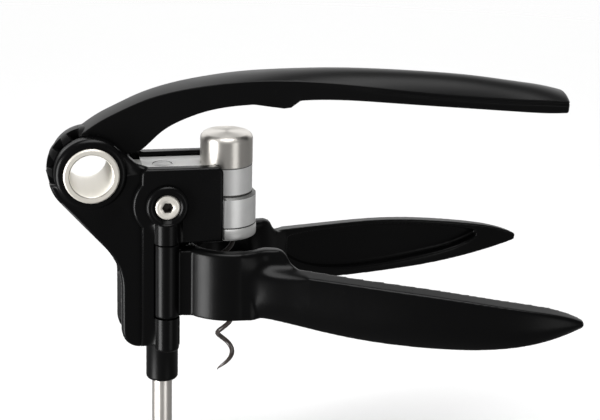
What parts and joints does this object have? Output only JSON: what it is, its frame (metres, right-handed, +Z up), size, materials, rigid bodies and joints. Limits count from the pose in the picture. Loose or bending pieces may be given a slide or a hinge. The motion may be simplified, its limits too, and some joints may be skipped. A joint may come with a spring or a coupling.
{
  "type": "lever corkscrew",
  "caption": "Lever corkscrew with a toothed lever that drives a rack and a turning worm, and clamp handles whose jaws grip the bottle's neck.",
  "frame": {"origin": "on the worm's axis, in the plane where the bottle's mouth stops against the jaws", "axes": "+X along the lever towards its grip, +Z up along the worm away from the bottle, -Y towards the near handle"},
  "size_m": [0.2084, 0.1178, 0.1722],
  "materials": {
    "black_shell": "black, half gloss",
    "black_core": "black, half gloss",
    "black_lever": "black, satin top",
    "black_handle": "black, half gloss",
    "pale_tube": "pale warm satin",
    "screw_steel": "satin",
    "rod_steel": "drawn, satin",
    "satin_cap": "satin, brushed around",
    "grey_casting": "matt light grey",
    "white_nylon": "plain",
    "dark_coat": "dark coating, half gloss"
  },
  "bodies": {
    "frame": {"body_near_half": "black_shell", "body_far_half": "black_shell", "guide_tube": "black_core", "pivot_tube": "pale_tube", "pivot_ring": "pale_tube", "near_screw": "screw_steel", "far_screw": "screw_steel", "near_hinge_pin": "rod_steel", "far_hinge_pin": "rod_steel", "near_spacer": "white_nylon", "far_spacer": "white_nylon", "nut_carriage": "grey_casting", "helix_nut": "white_nylon", "nut_ring": "grey_casting"},
    "lever": {"lever_hub": "black_lever", "lever_arm": "black_lever", "lever_bush": "white_nylon"},
    "carrier": {"carrier": "grey_casting", "rack": "grey_casting", "guide_rod": "rod_steel", "worm_cap": "satin_cap", "thrust_washer": "white_nylon"},
    "worm": {"worm": "dark_coat"},
    "near_clamp": {"near_handle": "black_handle"},
    "far_clamp": {"far_handle": "black_handle"}
  },
  "joints": [
    {"name": "lever_swing", "type": "hinge", "parent": "frame", "child": "lever", "pos_m": [-0.0546, 0, 0.038], "axis": [0, -1, 0], "range_deg": [0, 192]},
    {"name": "carrier_slide", "type": "slide", "parent": "frame", "child": "carrier", "axis": [0, 0, 1], "range_m": [0, 0.0515]},
    {"name": "worm_spin", "type": "hinge", "parent": "carrier", "child": "worm", "pos_m": [0, 0, 0.03], "axis": [0, 0, 1], "range_deg": [0, 1160]},
    {"name": "near_clamp_swing", "type": "hinge", "parent": "frame", "child": "near_clamp", "pos_m": [-0.0252, -0.013, -0.006], "axis": [0, 0, 1], "range_deg": [-8, 7]},
    {"name": "far_clamp_swing", "type": "hinge", "parent": "frame", "child": "far_clamp", "pos_m": [-0.0252, 0.013, -0.006], "axis": [0, 0, -1], "range_deg": [-6, 9]}
  ],
  "couplings": [
    {"joint": "carrier_slide", "follows": "lever_swing", "m_per_rad": 0.01534},
    {"joint": "worm_spin", "follows": "lever_swing", "ratio": 6.024}
  ]
}
